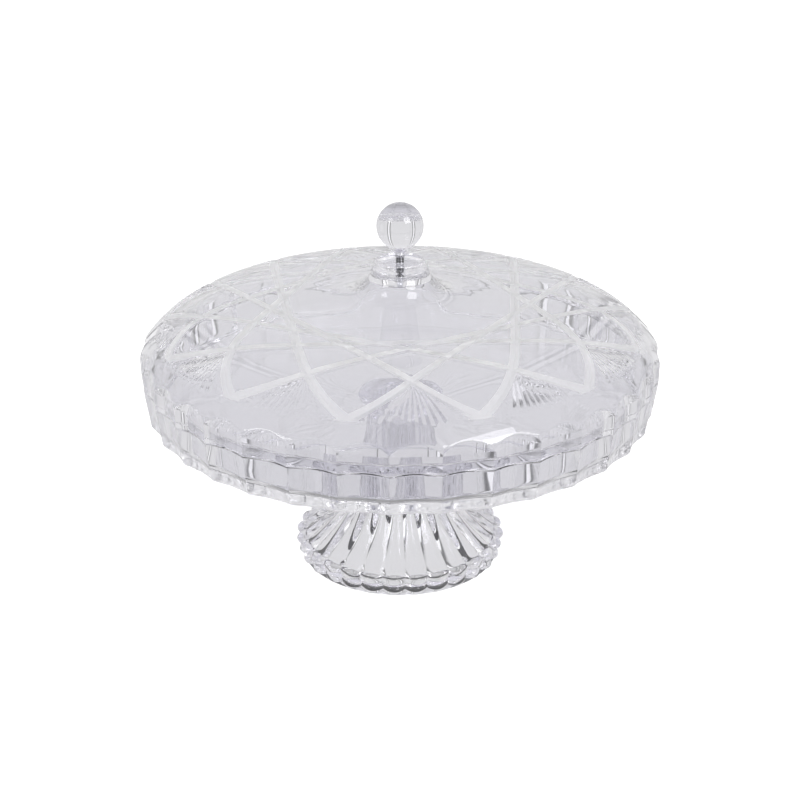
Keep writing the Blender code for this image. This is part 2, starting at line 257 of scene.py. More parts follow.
# Floor, cards and surroundings. The surroundings' greys run from straight down, -1, to straight
# up, 1. The flags' greys run from the middle of a flag, -1, to half way to the next, 1.
STUDIO_FLOOR_HALF = 40.0
CARD_HALF = 2.0
CARD_PLACE = -1.5
CARD_LOW = -1.6
CARD_HIGH = -0.3
# Painted contact shadow under the foot: a dark ring that only glass and reflections see
SHADE_INNER = 50.0 * MM
SHADE_OUTER = 60.0 * MM
SHADE_HEIGHT = -3.0 * MM
SHADE_STEPS = 72
STUDIO_GREYS = ((-1.0, 0.3), (-0.86, 0.4), (-0.72, 0.67), (0.35, 0.72), (0.8, 0.9))
FLAG_GREYS = (
    (-1.0, 1.45), (-0.985, 1.45), (-0.975, 0.28), (-0.935, 0.28), (-0.9, 0.7), (-0.82, 1.0),
)
SIDE_FLAGS = 8
STUDIO_STRENGTH = 1.15
LIGHT_BOUNCES = 32

# Materials: the part of a noise's range that a colour drifts over, the glass's faint cast in its
# darker and lighter patches, and how much darker the dark patches of metal and card are
NOISE_SPAN = (0.3, 0.7)
GLASS_IOR = 1.5
CAST_LOW = (-0.012, -0.016, 0.016)
CAST_HIGH = (0.004, 0.0, 0.03)
METAL_SHADE = 0.86
CARD_SHADE = 0.7


class Turned:
    """A closed body made of rings about Z, with places where rings of different counts meet."""

    def __init__(self):
        self.points = []
        self.faces = []
        self.second = set()

    def add(self, coords):
        """Store points and return their numbers."""
        start = len(self.points)
        self.points.extend(tuple(c) for c in coords)
        return list(range(start, len(self.points)))

    def pole(self, height):
        """A single point on the axis."""
        return self.add([(0.0, 0.0, height)])

    def ring(self, radius, height, steps):
        """A ring; radius and height are numbers or one value for each step."""
        angle = np.arange(steps) * TAU / steps
        radius = np.broadcast_to(radius, steps)
        height = np.broadcast_to(height, steps)
        return self.add(np.stack([radius * np.cos(angle), radius * np.sin(angle), height], 1))

    def stack(self, profile, steps):
        """A ring for each radius and height of a profile."""
        return [self.ring(radius, height, steps) for radius, height in profile]

    def join(self, upper, lower):
        """Faces between two rings, or a ring and a pole. Counts may differ by a whole factor."""
        if len(upper) == 1 or len(lower) == 1:
            pole, loop = (upper, lower) if len(upper) == 1 else (lower, upper)
            self.faces += [(pole[0], a, b) for a, b in zip(loop, loop[1:] + loop[:1])]
            return
        fine, coarse = (upper, lower) if len(upper) >= len(lower) else (lower, upper)
        factor = len(fine) // len(coarse)
        count = len(coarse)
        for step in range(count):
            after = (step + 1) % count
            run = [fine[(step * factor + part) % len(fine)] for part in range(factor + 1)]
            self.faces.append(tuple(run + [coarse[after], coarse[step]]))

    def chain(self, rings):
        """Join each ring to the next."""
        for upper, lower in zip(rings, rings[1:]):
            self.join(upper, lower)

    def mesh_object(self, name, materials, crease=30.0):
        """The finished object, shaded smooth with its creases kept sharp.

        materials holds one material, or two if some faces are marked for the second.
        """
        mesh = bpy.data.meshes.new(name)
        mesh.from_pydata(self.points, [], self.faces)
        for material in materials:
            mesh.materials.append(material)
        for index in self.second:
            mesh.polygons[index].material_index = 1
        bm = bmesh.new()
        bm.from_mesh(mesh)
        bmesh.ops.recalc_face_normals(bm, faces=bm.faces)
        bm.to_mesh(mesh)
        bm.free()
        mesh.shade_smooth()
        mesh.set_sharp_from_angle(angle=math.radians(crease))
        return link_mesh(name, mesh)


class Plan:
    """Points in plan, and the edges between them that a filling has to keep."""

    def __init__(self):
        self.points = []
        self.edges = []

    def loose(self, points):
        """Add points with no edges, and return the first one's number."""
        start = len(self.points)
        self.points.extend(Vector(point) for point in points)
        return start

    def line(self, points):
        """Add an open line."""
        start = self.loose(points)
        self.edges += [(start + step, start + step + 1) for step in range(len(points) - 1)]

    def loop(self, points):
        """Add a closed line."""
        start = self.loose(points)
        count = len(points)
        self.edges += [(start + step, start + (step + 1) % count) for step in range(count)]


def link_mesh(name, mesh):
    """An object in the scene that shows a mesh."""
    obj = bpy.data.objects.new(name, mesh)
    bpy.context.scene.collection.objects.link(obj)
    return obj


def spread(start, end, count):
    """Evenly spaced values, both ends included."""
    return [start + (end - start) * step / count for step in range(count + 1)]


def turn_plan(along_x, along_y, turn):
    """Points turned about the axis in plan."""
    return np.stack([
        along_x * math.cos(turn) - along_y * math.sin(turn),
        along_x * math.sin(turn) + along_y * math.cos(turn),
    ], 1)


def circle_points(radius, steps):
    """Points of a circle in plan."""
    angle = np.arange(steps) * TAU / steps
    return np.stack([radius * np.cos(angle), radius * np.sin(angle)], 1)


def dome(radius, base, height, outer):
    """Height of the domed ring: level at the ring's inner edge, steep at the rim."""
    part = (radius - RING_RADIUS) / (outer - RING_RADIUS)
    return base + height * (1.0 - part ** DOME_POWER)


def crown(radius, top, bottom):
    """Height of the plain centre: a shallow cone with a steep neck under the knob."""
    part = 1.0 - np.clip((radius - CROWN_RADIUS) / (RING_RADIUS - CROWN_RADIUS), 0.0, 1.0)
    cone = (1.0 - CROWN_NECK_SHARE) * part ** CROWN_POWER
    neck = CROWN_NECK_SHARE * part ** CROWN_NECK_POWER
    return bottom + (top - bottom) * (cone + neck)


def lid_top(radius):
    """Height of the lid's outer surface, before any cut."""
    outside = dome(np.maximum(radius, RING_RADIUS), BAND_TOP, RING_HEIGHT - BAND_TOP, RIM)
    return np.where(radius < RING_RADIUS, crown(radius, LID_HIGH, RING_HEIGHT), outside)


def crown_radii(reach):
    """Radii across the plain centre out to reach, closer together towards the knob."""
    width = reach - CROWN_RADIUS
    return [CROWN_RADIUS + width * part ** CROWN_SPACING for part in spread(0.0, 1.0, CROWN_RINGS)]


def flute_cut():
    """How far each step round the rim is cut in: scoops that meet in sharp tips."""
    phase = np.arange(RIM_STEPS) * FLUTES / RIM_STEPS
    return FLUTE_DEPTH * np.abs(np.cos(math.pi * phase))


def star_turns():
    """The direction of each arc and of each fan."""
    return [STAR_TURN + index * TAU / STAR_POINTS for index in range(STAR_POINTS)]


def arc_shape(along):
    """One cut arc's distance from the axis, and its slope, at distances along its tangent."""
    half = NODE_RADIUS * math.sin(NODE_ANGLE)
    drop = ARC_NEAREST - NODE_RADIUS * math.cos(NODE_ANGLE)
    part = np.abs(along) / half
    slope = -ARC_BEND * drop * part ** (ARC_BEND - 1.0) / half
    return ARC_NEAREST - drop * part ** ARC_BEND, slope * np.sign(along)


def arc_line(turn, offset):
    """Points along one cut arc, offset sideways."""
    along = np.linspace(-CUT_END, CUT_END, ARC_POINTS)
    outward, slope = arc_shape(along)
    length = np.hypot(1.0, slope)
    points = turn_plan(outward + offset / length, along - offset * slope / length, turn)
    return points[np.hypot(points[:, 0], points[:, 1]) <= CUT_END]


def arc_distance(x, y):
    """Distance from each point to the nearest cut arc."""
    nearest = np.full(x.shape, np.inf)
    for turn in star_turns():
        outward = x * math.cos(turn) + y * math.sin(turn)
        middle, slope = arc_shape(y * math.cos(turn) - x * math.sin(turn))
        nearest = np.minimum(nearest, np.abs(outward - middle) / np.hypot(1.0, slope))
    return nearest


def fan_place(x, y):
    """For each point: its distance from the fan's start, and its angle off the fan's middle."""
    sector = TAU / STAR_POINTS
    angle = np.arctan2(y, x) - STAR_TURN
    angle = (angle + sector / 2.0) % sector - sector / 2.0
    radius = np.hypot(x, y)
    along = radius * np.cos(angle) - NODE_RADIUS
    across = radius * np.sin(angle)
    return np.hypot(along, across), np.arctan2(across, along)


def strip_depth(distance, width, depth):
    """Depth of a V-shaped cut at a distance from its middle line."""
    return depth * np.clip(1.0 - distance / (width / 2.0), 0.0, 1.0)


def cut_depth(x, y):
    """Depth of the deepest cut at each point."""
    radius = np.hypot(x, y)
    run_out = np.clip((CUT_END - radius) / CUT_RUN_OUT, 0.0, 1.0) ** RUN_OUT_POWER
    strip = strip_depth(arc_distance(x, y), CUT_WIDTH, CUT_DEPTH)
    along, angle = fan_place(x, y)
    pitch = 2.0 * FAN_HALF_ANGLE / FAN_RAYS
    wave = 1.0 - np.abs((((angle + FAN_HALF_ANGLE) / pitch) % 1.0) * 2.0 - 1.0)
    fan = FAN_SLOPE * pitch / 2.0 * along * wave
    fan = np.where((np.abs(angle) <= FAN_HALF_ANGLE) & (along > FAN_START), fan, 0.0)
    circle = strip_depth(np.abs(radius - RING_RADIUS), CIRCLE_WIDTH, CIRCLE_DEPTH)
    return np.maximum(np.maximum(strip, fan) * run_out, circle)


def fan_lines():
    """Ridges and valleys of every fan, as lines of points."""
    lines = []
    for turn in star_turns():
        for angle in spread(-FAN_HALF_ANGLE, FAN_HALF_ANGLE, 2 * FAN_RAYS):
            swing = NODE_RADIUS * math.cos(angle)
            length = -swing + math.sqrt(swing ** 2 + CUT_END ** 2 - NODE_RADIUS ** 2)
            run = np.linspace(FAN_START, length, FAN_RAY_POINTS)
            along = NODE_RADIUS + run * math.cos(angle)
            lines.append(turn_plan(along, run * math.sin(angle), turn))
    return lines


def star_lines():
    """Every line that a cut's faces bend along."""
    lines = fan_lines()
    for turn in star_turns():
        for offset in (-CUT_WIDTH / 2.0, 0.0, CUT_WIDTH / 2.0):
            lines.append(arc_line(turn, offset))
    return lines


def cut_plan(inner_steps, outer_steps):
    """Plan of the surface that carries the star: its two edges, the cuts' lines and the filling."""
    plan = Plan()
    plan.loop(circle_points(CUT_FACE_RADIUS, inner_steps))
    plan.loop(circle_points(DOME_EDGE, outer_steps))
    for side in (-1.0, 0.0, 1.0):
        plan.loop(circle_points(RING_RADIUS + side * CIRCLE_WIDTH / 2.0, CIRCLE_STEPS))
    plan.loop(circle_points(SATIN_END, SATIN_STEPS))
    for line in star_lines():
        plan.line(line)
    for radius in np.arange(FILL_COARSE_START, FILL_COARSE_END, FILL_COARSE_PITCH):
        plan.loose(circle_points(radius, FILL_STEPS))
    for radius in np.arange(FILL_FINE_START, FILL_FINE_END, FILL_FINE_PITCH):
        plan.loose(circle_points(radius, FILL_STEPS))
    return plan


def cut_face(body, inner, outer):
    """Fill between two rings of the body with the lid's top surface and the cut star in it.

    The surface's edges follow the cuts, so each one stays crisp. inner and outer are the numbers
    of the rings' points. The ground faces of the arcs take the body's second material.
    """
    plan = cut_plan(len(inner), len(outer))
    found = delaunay_2d_cdt(plan.points, plan.edges, [], 0, FILL_TOLERANCE)
    verts, faces, sources = found[0], found[2], found[3]
    x = np.array([v.x for v in verts])
    y = np.array([v.y for v in verts])
    heights = lid_top(np.hypot(x, y)) - cut_depth(x, y)
    fixed = dict(enumerate(inner + outer))
    numbers = []
    on_inner = []
    for place, source in enumerate(sources):
        known = [fixed[s] for s in source if s in fixed]
        on_inner.append(any(s < len(inner) for s in source))
        if known:
            numbers.append(known[0])
        else:
            numbers.append(body.add([(x[place], y[place], heights[place])])[0])
    for face in faces:
        if all(on_inner[v] for v in face):
            continue
        middle = np.array([[x[list(face)].mean()], [y[list(face)].mean()]])
        if arc_distance(*middle)[0] < CUT_WIDTH / 2.0 and np.hypot(*middle)[0] < SATIN_END:
            body.second.add(len(body.faces))
        body.faces.append(tuple(numbers[v] for v in face))


def make_lid(glass, satin):
    """Lid shell: plain crown, cut ring, fluted band with faceted tips, smooth inside."""
    body = Turned()
    cut = flute_cut()
    fluted = RIM - cut
    bore_top = body.ring(LID_BORE, LID_HIGH, PLAIN_STEPS)
    top_radii = [*KNOB_SEAT_RADII, *crown_radii(CUT_FACE_RADIUS)]
    crown_rings = [bore_top] + body.stack([(r, lid_top(r)) for r in top_radii], PLAIN_STEPS)
    body.chain(crown_rings)
    rings = [body.ring(DOME_EDGE, lid_top(DOME_EDGE), RIM_STEPS)]
    cut_face(body, crown_rings[-1], rings[0])
    band = [DOME_EDGE + (fluted - DOME_EDGE) * part for part in DOME_SHARES]
    rings += body.stack([(radius, lid_top(radius)) for radius in band], RIM_STEPS)
    tip = TIP_DROP * np.clip(1.0 - cut / (TIP_SHARE * FLUTE_DEPTH), 0.0, 1.0)
    edge_height = lid_top(fluted) - tip
    # The top edge falls away towards each tip: by half where it begins, and fully at the wall
    rings += body.stack([
        (fluted - EDGE, lid_top(fluted - EDGE) - 0.5 * tip),
        (fluted - 0.3 * EDGE, edge_height - 0.1 * EDGE),
        (fluted, edge_height - EDGE),
        (fluted, (edge_height + LID_LOW) / 2.0),
    ], RIM_STEPS)
    rings += body.stack([(fluted - inset, LID_LOW + rise) for inset, rise in EDGE_TURN], RIM_STEPS)
    under_band = BAND_TOP - LID_THICKNESS
    under_ring = RING_HEIGHT - LID_THICKNESS
    under_crown = LID_HIGH - LID_THICKNESS
    rings.append(body.ring(SKIRT_RADIUS, LID_LOW, PLAIN_STEPS))
    for part in reversed(spread(0.0, 1.0, INSIDE_RINGS)):
        radius = RING_RADIUS + (SKIRT_RADIUS - RING_RADIUS) * part ** INSIDE_SPACING
        height = dome(radius, under_band, under_ring - under_band, SKIRT_RADIUS)
        rings.append(body.ring(radius, height, PLAIN_STEPS))
    for radius in reversed(crown_radii(RING_RADIUS)[:-1]):
        rings.append(body.ring(radius, crown(radius, under_crown, under_ring), PLAIN_STEPS))
    rings.append(body.ring(LID_BORE, under_crown, PLAIN_STEPS))
    rings.append(bore_top)
    body.chain(rings)
    lid = body.mesh_object("cut_glass_lid", [glass, satin], CUT_CREASE)
    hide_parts("lid_shell")
    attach(lid, "lid")


def make_plate(glass):
    """Plate: smooth well and lip, fluted wall, plain underside, boss for the foot."""
    body = Turned()
    cut = flute_cut()
    fluted = RIM - cut
    rings = [body.pole(PLATE_FLOOR)]
    rings += body.stack([(radius, PLATE_FLOOR) for radius in PLATE_FLOOR_RADII], PLAIN_STEPS)
    for angle in spread(0.0, math.pi / 2.0, FILLET_RINGS):
        radius = PLATE_FLOOR_RADIUS + WELL_FILLET * math.sin(angle)
        height = PLATE_FLOOR + WELL_FILLET * (1.0 - math.cos(angle))
        rings.append(body.ring(radius, height, PLAIN_STEPS))
    lip = [(WELL_RADIUS + inset, PLATE_HIGH - drop) for inset, drop in EDGE_TURN]
    lip += [(LIP_RADIUS - inset, PLATE_HIGH - drop) for inset, drop in reversed(EDGE_TURN)]
    rings += body.stack(lip + [(LIP_RADIUS, PLATE_LEDGE)], PLAIN_STEPS)
    for inset, drop in reversed(EDGE_TURN):
        rings.append(body.ring(fluted - inset, PLATE_LEDGE - drop, RIM_STEPS))
    corner = PLATE_UNDERSIDE + CORNER_HEIGHT
    for part in spread(0.0, 1.0, WALL_RINGS)[1:-1]:
        height = PLATE_LEDGE + (corner - PLATE_LEDGE) * part
        rings.append(body.ring(fluted - WALL_TAPER * part, height, RIM_STEPS))
    reach = RIM - WALL_TAPER - BASE_RADIUS
    for part in spread(0.0, 1.0, CORNER_RINGS):
        swing = part * math.pi / 2.0
        flute = cut * (1.0 - BASE_FLUTE_SHARE * part)
        radius = BASE_RADIUS + reach * math.cos(swing) - flute
        rings.append(body.ring(radius, corner - CORNER_HEIGHT * math.sin(swing), RIM_STEPS))
    rings += body.stack([(radius, PLATE_UNDERSIDE) for radius in UNDERSIDE_RADII], PLAIN_STEPS)
    rings += body.stack([
        (BOSS_RADIUS, PLATE_LOW),
        (POCKET_RADIUS, PLATE_LOW),
        (POCKET_RADIUS, PLATE_LOW + POCKET_DEPTH),
    ], PLAIN_STEPS)
    rings.append(body.pole(PLATE_LOW + POCKET_DEPTH))
    body.chain(rings)
    plate = body.mesh_object("cut_glass_plate", [glass])
    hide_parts("plate")
    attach(plate, "base")


def trumpet(height, bottom, base_radius, neck_radius, neck_height):
    """Radius of the foot's flare at a height."""
    part = min(1.0, (height - bottom) / (neck_height - bottom))
    return neck_radius + (base_radius - neck_radius) * (1.0 - part) ** TRUMPET_POWER


def make_foot(glass):
    """Foot: fluted trumpet flowing into a ring of pillow lobes in two tiers."""
    body = Turned()
    steps = LOBES * STEPS_PER_LOBE
    pillow = np.abs(np.sin(math.pi * np.arange(steps) / STEPS_PER_LOBE))
    groove = 1.0 - pillow
    flange_bottom = FOOT_HIGH - FLANGE_THICKNESS
    flange_inner = FLANGE_RADIUS - FLANGE_CHAMFER
    rings = body.stack([
        (FLANGE_RADIUS - EDGE, FOOT_HIGH),
        (FLANGE_RADIUS, FOOT_HIGH - EDGE),
        (FLANGE_RADIUS, FOOT_HIGH - FLANGE_WALL),
        (flange_inner, flange_bottom),
    ], steps)
    for part in spread(0.0, 1.0, NECK_RINGS)[1:]:
        radius = NECK_RADIUS + (flange_inner - NECK_RADIUS) * (1.0 - part) ** NECK_POWER
        depth = LOBE_DEPTH * NECK_LOBE_SHARE * part
        height = flange_bottom + (NECK_HEIGHT - flange_bottom) * part
        rings.append(body.ring(radius - groove * depth, height, steps))
    flare_bottom = 2.0 * TIER
    flare_radius = RING_OUTER - FOOT_SHOULDER
    for height in spread(NECK_HEIGHT, flare_bottom, FLARE_RINGS)[1:]:
        radius = trumpet(height, flare_bottom, flare_radius, NECK_RADIUS, NECK_HEIGHT)
        swell = (radius - NECK_RADIUS) / (flare_radius - NECK_RADIUS)
        depth = LOBE_DEPTH * (NECK_LOBE_SHARE + (1.0 - NECK_LOBE_SHARE) * swell)
        rings.append(body.ring(radius - groove * depth, height, steps))
    rounding = 1.0 - PILLOW_ROUNDING * groove
    for middle, reach in TIERS:
        for swing in spread(PILLOW_TOP, PILLOW_BOTTOM, PILLOW_RINGS):
            radius = reach + PILLOW_BULGE * (math.cos(swing) - 1.0) - groove * PILLOW_GROOVE
            height = middle + PILLOW_HALF * math.sin(swing) * rounding
            rings.append(body.ring(radius, height, steps))
    rings.append(body.ring(HOLLOW_RADIUS + RING_FLAT, FOOT_LOW, steps))
    inside = [(HOLLOW_RADIUS, FOOT_LOW)]
    top_radius = NECK_RADIUS - FOOT_WALL
    for height in spread(HOLLOW_START, WEB_BOTTOM, HOLLOW_RINGS):
        radius = trumpet(height, HOLLOW_START, HOLLOW_RADIUS, top_radius, WEB_BOTTOM)
        inside.append((radius, height))
    inside += [
        (WEB_BORE, WEB_BOTTOM),
        (WEB_BORE, PLATE_LOW - GAP),
        (BOSS_RADIUS + GAP, PLATE_LOW - GAP),
        (BOSS_RADIUS + GAP, FOOT_HIGH),
    ]
    rings += body.stack(inside, steps // 4)
    rings.append(rings[0])
    body.chain(rings)
    foot = body.mesh_object("lobed_glass_foot", [glass], FOOT_CREASE)
    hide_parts("pedestal_foot")
    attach(foot, "base")


def make_ball(glass):
    """Ball knob: a solid sphere cut flat below, on a short cone with a blind hole."""
    body = Turned()
    lowest = math.pi - math.asin(BALL_FLAT / BALL_RADIUS)
    profile = []
    for swing in spread(0.0, lowest, BALL_RINGS)[1:]:
        height = BALL_CENTRE + BALL_RADIUS * math.cos(swing)
        profile.append((BALL_RADIUS * math.sin(swing), height))
    flat = BALL_CENTRE + BALL_RADIUS * math.cos(lowest)
    profile += [(BALL_FLAT - inset, flat - drop) for inset, drop in BALL_UNDERCUT]
    profile += [
        (BALL_NECK + BALL_NECK_CHAMFER, BALL_LOW + BALL_NECK_CHAMFER),
        (BALL_NECK, BALL_LOW),
        (BALL_HOLE, BALL_LOW),
        (BALL_HOLE, BALL_LOW + BALL_HOLE_DEPTH),
    ]
    rings = [body.pole(BALL_HIGH)] + body.stack(profile, BALL_STEPS)
    rings.append(body.pole(BALL_LOW + BALL_HOLE_DEPTH))
    body.chain(rings)
    ball = body.mesh_object("glass_ball_knob", [glass])
    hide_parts("knob_ball")
    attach(ball, "lid")


def make_disc(glass):
    """Clear stepped disc: a dished top, a waist and a wide foot, all with rounded edges."""
    body = Turned()
    profile = [(radius * MM, height * MM) for radius, height in DISC_DISH]
    profile += [(DISC_RADIUS - inset, DISC_HIGH - drop) for inset, drop in DISC_CREST]
    profile += [(DISC_RADIUS - inset, DISC_MIDDLE + rise) for inset, rise in DISC_SIDE]
    profile += [(DISC_RADIUS - inset, DISC_LOW + rise) for inset, rise in DISC_HEEL]
    rings = body.stack(profile + [(DISC_BORE, DISC_LOW)], DISC_STEPS)
    rings.append(rings[0])
    body.chain(rings)
    disc = body.mesh_object("glass_knob_disc", [glass])
    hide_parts("knob_disc")
    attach(disc, "lid")


def make_ferrule(chrome, thread_painted_dark):
    """Ferrule: chamfered chrome flange under the ball, and a threaded chrome sleeve below it,
    coloured darker as a painted dark reflection.
    """
    body = Turned()
    flange = body.stack([
        (FERRULE_BORE, FERRULE_HIGH),
        (FERRULE_FLANGE - FERRULE_EDGE, FERRULE_HIGH),
        (FERRULE_FLANGE, FERRULE_HIGH - FERRULE_EDGE),
        (FERRULE_FLANGE, FERRULE_FLANGE_LOW + FERRULE_EDGE),
        (FERRULE_FLANGE - FERRULE_EDGE, FERRULE_FLANGE_LOW),
        (THREAD_ROOT, FERRULE_FLANGE_LOW),
    ], FERRULE_STEPS)
    body.chain(flange)
    thread_start = len(body.faces)
    turn = np.arange(FERRULE_STEPS) / FERRULE_STEPS
    thread = [flange[-1]]
    for height in spread(FERRULE_FLANGE_LOW, FERRULE_LOW, THREAD_RINGS)[1:-1]:
        place = (height / THREAD_PITCH - turn) % 1.0
        radius = THREAD_ROOT + THREAD_DEPTH * (1.0 - np.abs(2.0 * place - 1.0))
        thread.append(body.ring(radius, height, FERRULE_STEPS))
    thread.append(body.ring(THREAD_ROOT, FERRULE_LOW, FERRULE_STEPS))
    body.chain(thread)
    body.second.update(range(thread_start, len(body.faces)))
    bore_low = body.ring(FERRULE_BORE, FERRULE_LOW, FERRULE_STEPS)
    body.chain([thread[-1], bore_low, flange[0]])
    ferrule = body.mesh_object("chrome_ferrule", [chrome, thread_painted_dark])
    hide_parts("knob_ferrule")
    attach(ferrule, "lid")


def grey(value):
    """A grey as a colour."""
    return (value, value, value)


def new_material(name):
    """A material with an empty Principled shader, and that shader."""
    material = bpy.data.materials.new(name)
    material.use_nodes = True
    return material, material.node_tree.nodes["Principled BSDF"]


def noise(tree, scale, detail):
    """A noise texture over object coordinates."""
    coords = tree.nodes.new("ShaderNodeTexCoord")
    texture = tree.nodes.new("ShaderNodeTexNoise")
    texture.inputs["Scale"].default_value = scale
    texture.inputs["Detail"].default_value = detail
    tree.links.new(coords.outputs["Object"], texture.inputs["Vector"])
    return texture.outputs["Fac"]


def vary(shader, socket, low, high, scale, detail=2.0):
    """Let a socket of the shader drift between two colours or greys, patch by patch."""
    tree = shader.id_data
    ramp = tree.nodes.new("ShaderNodeValToRGB")
    for element, place, colour in zip(ramp.color_ramp.elements, NOISE_SPAN, (low, high)):
        element.position = place
        element.color = (*colour, 1.0)
    tree.links.new(noise(tree, scale, detail), ramp.inputs["Fac"])
    tree.links.new(ramp.outputs["Color"], shader.inputs[socket])


def waver(shader, scale, detail, strength, distance):
    """Make the shader's surface slightly uneven."""
    tree = shader.id_data
    bump = tree.nodes.new("ShaderNodeBump")
    bump.inputs["Strength"].default_value = strength
    bump.inputs["Distance"].default_value = distance
    tree.links.new(noise(tree, scale, detail), bump.inputs["Height"])
    tree.links.new(bump.outputs["Normal"], shader.inputs["Normal"])


def glass_material(name, tone):
    """Clear pressed glass: faint lavender cast, slow mould waviness, light handling haze.

    tone is how much light each surface lets through; a thick solid piece holds back more.
    """
    material, shader = new_material(name)
    low, high = (tuple(tone + part for part in cast) for cast in (CAST_LOW, CAST_HIGH))
    vary(shader, "Base Color", low, high, scale=9.0)
    vary(shader, "Roughness", grey(0.0), grey(0.03), scale=60.0, detail=4.0)
    waver(shader, scale=45.0, detail=1.0, strength=0.25, distance=0.4 * MM)
    shader.inputs["Transmission Weight"].default_value = 1.0
    shader.inputs["IOR"].default_value = GLASS_IOR
    return material


def satin_material():
    """The ground faces of the mitre cuts: clear glass with a fine satin surface."""
    material, shader = new_material("satin_cut_glass")
    vary(shader, "Base Color", (0.93, 0.93, 0.94), (0.96, 0.96, 0.965), scale=30.0)
    vary(shader, "Roughness", grey(0.28), grey(0.4), scale=700.0, detail=3.0)
    shader.inputs["Transmission Weight"].default_value = 0.94
    shader.inputs["IOR"].default_value = GLASS_IOR
    return material


def gasket_material():
    """Soft clear plastic with a faintly uneven surface."""
    material, shader = new_material("clear_soft_plastic")
    vary(shader, "Base Color", (0.97, 0.97, 0.975), grey(0.99), scale=200.0)
    vary(shader, "Roughness", grey(0.03), grey(0.08), scale=500.0, detail=3.0)
    shader.inputs["Transmission Weight"].default_value = 1.0
    shader.inputs["IOR"].default_value = 1.45
    return material


def metal_material(name, colour, rough_low, rough_high):
    """Machined or plated metal with fine turning marks."""
    material, shader = new_material(name)
    dark = tuple(METAL_SHADE * c for c in colour)
    vary(shader, "Base Color", dark, colour, scale=300.0, detail=3.0)
    vary(shader, "Roughness", grey(rough_low), grey(rough_high), scale=900.0)
    shader.inputs["Metallic"].default_value = 1.0
    return material


def matt_material(name, low, high, roughness):
    """Dull painted board or paper in a pale or dark grey."""
    material, shader = new_material(name)
    vary(shader, "Base Color", grey(low), grey(high), scale=3.0)
    shader.inputs["Roughness"].default_value = roughness
    return material


def card_and_shadow_material(name, tone):
    """Dull dark card, also used for the painted contact shadow; tone is its brightest grey."""
    return matt_material(name, CARD_SHADE * tone, tone, 1.0)


def dress_nodes(materials):
    """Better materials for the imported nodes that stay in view."""
    for node, material in materials.items():
        obj = frame["nodes"][node]
        obj.data.materials.clear()
        obj.data.materials.append(material)


def hide_from(obj, *rays):
    """Hide an object from rays: camera, diffuse, glossy, transmission or shadow."""
    for ray in rays:
        setattr(obj, "visible_" + ray, False)


def drop_shadows():
    """The object casts no shadow on the floor."""
    for piece in bpy.data.objects:
        if piece.type == "MESH":
            hide_from(piece, "shadow")


def make_sheet(name, corners, material):
    """A flat sheet with four corners."""
    mesh = bpy.data.meshes.new(name)
    mesh.from_pydata(corners, [], [(0, 1, 2, 3)])
    mesh.materials.append(material)
    return link_mesh(name, mesh)


def make_floor():
    """Plain pale floor. Glass and reflections see the surroundings below instead of it."""
    half = STUDIO_FLOOR_HALF
    corners = [(-half, -half, 0.0), (half, -half, 0.0), (half, half, 0.0), (-half, half, 0.0)]
    floor = make_sheet("floor", corners, matt_material("pale_floor", 0.66, 0.68, 0.8))
    hide_from(floor, "transmission", "glossy")


def make_flag():
    """Black card in front of the object and below the floor, which only reflections see."""
    half = CARD_HALF
    card = make_sheet("black_flag", [
        (-half, CARD_PLACE, CARD_LOW), (half, CARD_PLACE, CARD_LOW),
        (half, CARD_PLACE, CARD_HIGH), (-half, CARD_PLACE, CARD_HIGH),
    ], card_and_shadow_material("black_card", 0.03))
    hide_from(card, "camera", "diffuse", "transmission", "shadow")


def make_contact_shade():
    """Painted contact shadow: a dark ring just under the foot, which only glass and reflections see.
    """
    body = Turned()
    body.chain(body.stack([
        (SHADE_INNER, SHADE_HEIGHT), (SHADE_OUTER, SHADE_HEIGHT),
    ], SHADE_STEPS))
    ring = body.mesh_object("contact_shade", [card_and_shadow_material("painted_contact_shadow", 0.16)])
    hide_from(ring, "camera", "diffuse", "shadow")


def make_softbox(name, place, target, side, power):
    """A square studio light aimed at a point."""
    light = bpy.data.lights.new(name, "AREA")
    light.energy = power
    light.shape = "RECTANGLE"
    light.size = light.size_y = side
    obj = bpy.data.objects.new(name, light)
    obj.location = place
    obj.rotation_euler = (Vector(target) - Vector(place)).to_track_quat("-Z", "Y").to_euler()
    bpy.context.scene.collection.objects.link(obj)
    return obj


def math_node(tree, operation, *values):
    """A Math node fed by sockets or plain numbers."""
    node = tree.nodes.new("ShaderNodeMath")
    node.operation = operation
    for socket, value in zip(node.inputs, values):
        if isinstance(value, (int, float)):
            socket.default_value = value
        else:
            tree.links.new(value, socket)
    return node.outputs["Value"]


def world_ramp(tree, source, stops):
    """Greys along a measure of direction that runs from -1 to 1."""
    shifted = math_node(tree, "MULTIPLY_ADD", source, 0.5, 0.5)
    node = tree.nodes.new("ShaderNodeValToRGB")
    elements = node.color_ramp.elements
    while len(elements) < len(stops):
        elements.new(0.5)
    for element, (place, value) in zip(elements, stops):
        element.position = 0.5 + 0.5 * place
        element.color = (*grey(value), 1.0)
    tree.links.new(shifted, node.inputs["Fac"])
    return node.outputs["Color"]


def world_product(tree, first, second):
    """Two greys multiplied."""
    node = tree.nodes.new("ShaderNodeMixRGB")
    node.blend_type = "MULTIPLY"
    node.inputs["Fac"].default_value = 1.0
    tree.links.new(first, node.inputs["Color1"])
    tree.links.new(second, node.inputs["Color2"])
    return node.outputs["Color"]


